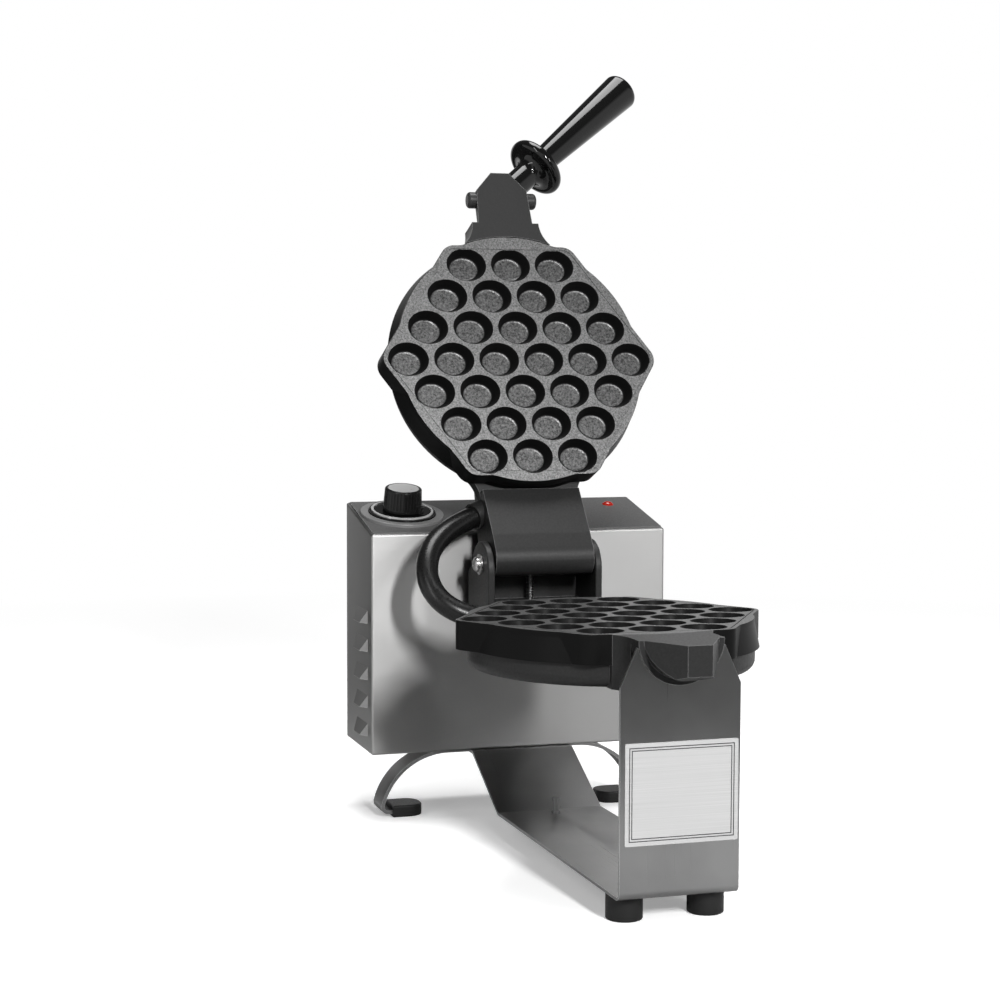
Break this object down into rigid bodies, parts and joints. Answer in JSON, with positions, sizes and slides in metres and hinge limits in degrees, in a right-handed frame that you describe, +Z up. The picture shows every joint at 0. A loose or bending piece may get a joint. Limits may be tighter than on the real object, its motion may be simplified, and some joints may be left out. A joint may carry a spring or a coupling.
{
  "type": "bubble waffle maker",
  "caption": "Bench-top bubble waffle maker: hinged cast mould plates that turn over on a shaft, side handle, sheet steel case with dial, bracket front leg and bowed rear legs.",
  "frame": {"origin": "middle of the footprint of the whole part, on the table", "axes": "+Z up, -Y towards the user's front leg, +X to the right seen from the front"},
  "size_m": [0.2428, 0.4518, 0.5671],
  "materials": {
    "brushed_steel": "brushed",
    "panel_grey": "matte",
    "screw_steel": "satin",
    "bush_bronze": "satin",
    "bearing_casting": "cast",
    "element_tube": "dull",
    "black_plastic": "gloss",
    "black_matte_plastic": "matte",
    "knob_cap": "satin",
    "red_lens": "gloss",
    "rubber": "matte",
    "label_metal": "satin",
    "housing_casting": "painted",
    "non_stick": "speckled"
  },
  "bodies": {
    "base": {"box_shell": "brushed_steel", "rear_cover": "brushed_steel", "cover_screws": "screw_steel", "cable_gland": "black_matte_plastic", "gland_nut": "screw_steel", "terminal_block": "black_matte_plastic", "top_panel": "panel_grey", "dial_ring": "brushed_steel", "dial_disc": "black_plastic", "dial_bead": "brushed_steel", "thermostat_body": "black_matte_plastic", "lamp_lens": "red_lens", "lamp_body": "black_matte_plastic", "bearing_housing": "bearing_casting", "bearing_bush": "bush_bronze", "bearing_screws": "screw_steel", "front_bracket": "brushed_steel", "bracket_screws": "screw_steel", "leg_screws": "screw_steel", "floor_nuts": "screw_steel", "label_plate": "label_metal", "front_feet": "rubber", "foot_screws": "screw_steel", "bracket_stud": "screw_steel", "rear_leg_strap": "brushed_steel", "leg_sleeve_left": "rubber", "leg_sleeve_right": "rubber"},
    "knob": {"knob": "black_plastic", "knob_inlay": "knob_cap", "thermostat_spindle": "screw_steel"},
    "lower_half": {"flip_shaft": "screw_steel", "shaft_collar": "screw_steel", "lower_housing": "housing_casting", "lower_plate": "non_stick", "lower_element": "element_tube", "lower_plate_screws": "screw_steel", "hinge_pin": "screw_steel", "hinge_pin_screws": "screw_steel", "hinge_washers": "screw_steel", "stop_bolt": "screw_steel", "stop_spring": "screw_steel", "hose": "rubber", "hose_collar_lower": "black_matte_plastic"},
    "lid": {"upper_housing": "housing_casting", "upper_plate": "non_stick", "upper_element": "element_tube", "upper_plate_screws": "screw_steel", "handle_cross_pin": "screw_steel", "handle_rod": "screw_steel", "handle_guard": "black_plastic", "handle_grip": "black_plastic", "hose_collar_upper": "black_matte_plastic"}
  },
  "joints": [
    {"name": "flip", "type": "hinge", "parent": "base", "child": "lower_half", "pos_m": [-0.0018, 0.11541, 0.1752], "axis": [0, 1, 0], "range_deg": [-30, 0]},
    {"name": "lid_hinge", "type": "hinge", "parent": "lower_half", "child": "lid", "pos_m": [-0.0018, 0.07821, 0.1943], "axis": [1, 0, 0], "range_deg": [0, 111.5], "deforming": ["hose"]},
    {"name": "knob_turn", "type": "hinge", "parent": "base", "child": "knob", "pos_m": [-0.0828, 0.15776, 0.22472], "axis": [0, -0.228, 0.9737], "range_deg": [-270, 0]}
  ]
}
